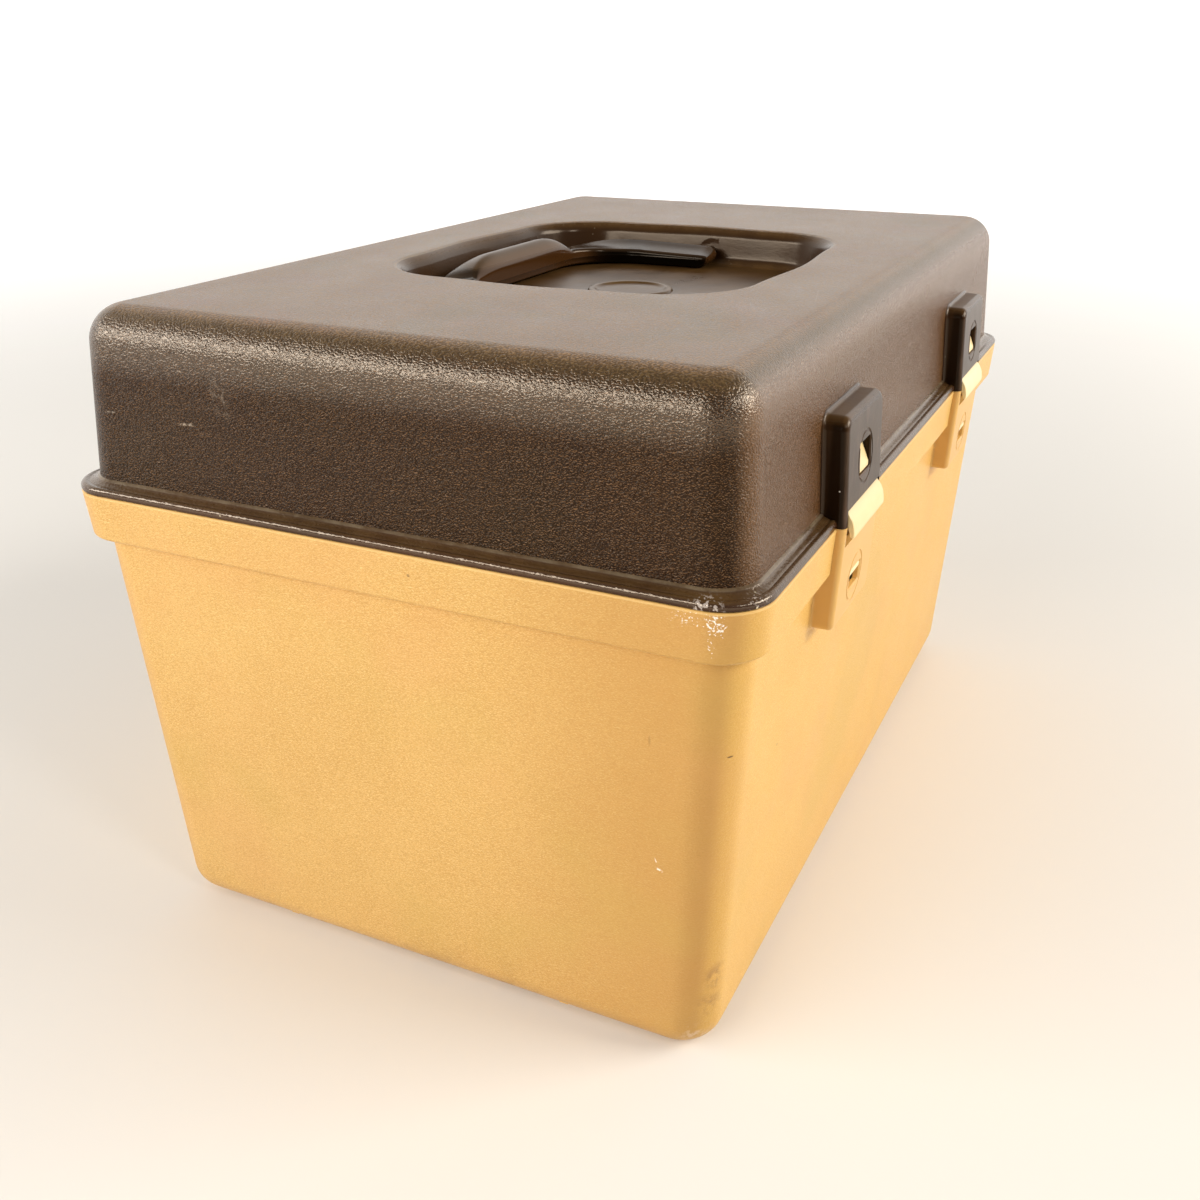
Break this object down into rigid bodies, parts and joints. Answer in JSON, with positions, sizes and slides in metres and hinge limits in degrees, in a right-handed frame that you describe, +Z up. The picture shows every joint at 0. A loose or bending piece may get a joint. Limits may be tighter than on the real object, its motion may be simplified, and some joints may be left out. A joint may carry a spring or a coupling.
{
  "type": "sewing box",
  "caption": "Moulded sewing box with a drafted tub, hinged lid, sunk folding carry handle, barbed press latches and a lift-out divided tray.",
  "frame": {"origin": "middle of the box's footprint, on the surface that it stands on", "axes": "+X along the length, to the right seen from the latches; -Y is the latch side and +Y the hinge side; +Z up"},
  "size_m": [0.2936, 0.1977, 0.1766],
  "materials": {
    "tan_shell": "fine pebble grain, satin",
    "brown_shell": "leather grain, satin, glossier on the bead, latch housings and recess",
    "handle": "smooth, glossy",
    "latch": "smooth, semi-gloss",
    "pin": "drawn wire",
    "tray": "smooth, satin"
  },
  "bodies": {
    "base": {"tub": "tan_shell", "hinge_pin_left": "pin", "hinge_pin_right": "pin"},
    "lid_body": {"lid": "brown_shell"},
    "handle_body": {"carry_handle": "handle"},
    "latch_left_body": {"latch_left": "latch"},
    "latch_right_body": {"latch_right": "latch"},
    "tray_body": {"tray": "tray"}
  },
  "joints": [
    {"name": "lid_hinge", "type": "hinge", "parent": "base", "child": "lid_body", "pos_m": [0, 0.0954, 0.1296], "axis": [-1, 0, 0], "range_deg": [0, 105]},
    {"name": "handle_swing", "type": "hinge", "parent": "lid_body", "child": "handle_body", "pos_m": [-0.0015, -0.0052, 0.1685], "axis": [1, 0, 0], "range_deg": [0, 160]},
    {"name": "latch_left_press", "type": "hinge", "parent": "base", "child": "latch_left_body", "pos_m": [-0.0715, -0.093, 0.1075], "axis": [-1, 0, 0], "range_deg": [0, 4.5], "stiffness_Nm_per_rad": 1},
    {"name": "latch_right_press", "type": "hinge", "parent": "base", "child": "latch_right_body", "pos_m": [0.0715, -0.093, 0.1075], "axis": [-1, 0, 0], "range_deg": [0, 4.5], "stiffness_Nm_per_rad": 1},
    {"name": "tray_lift", "type": "slide", "parent": "base", "child": "tray_body", "axis": [0, 0, 1], "range_m": [0, 0.028]}
  ]
}
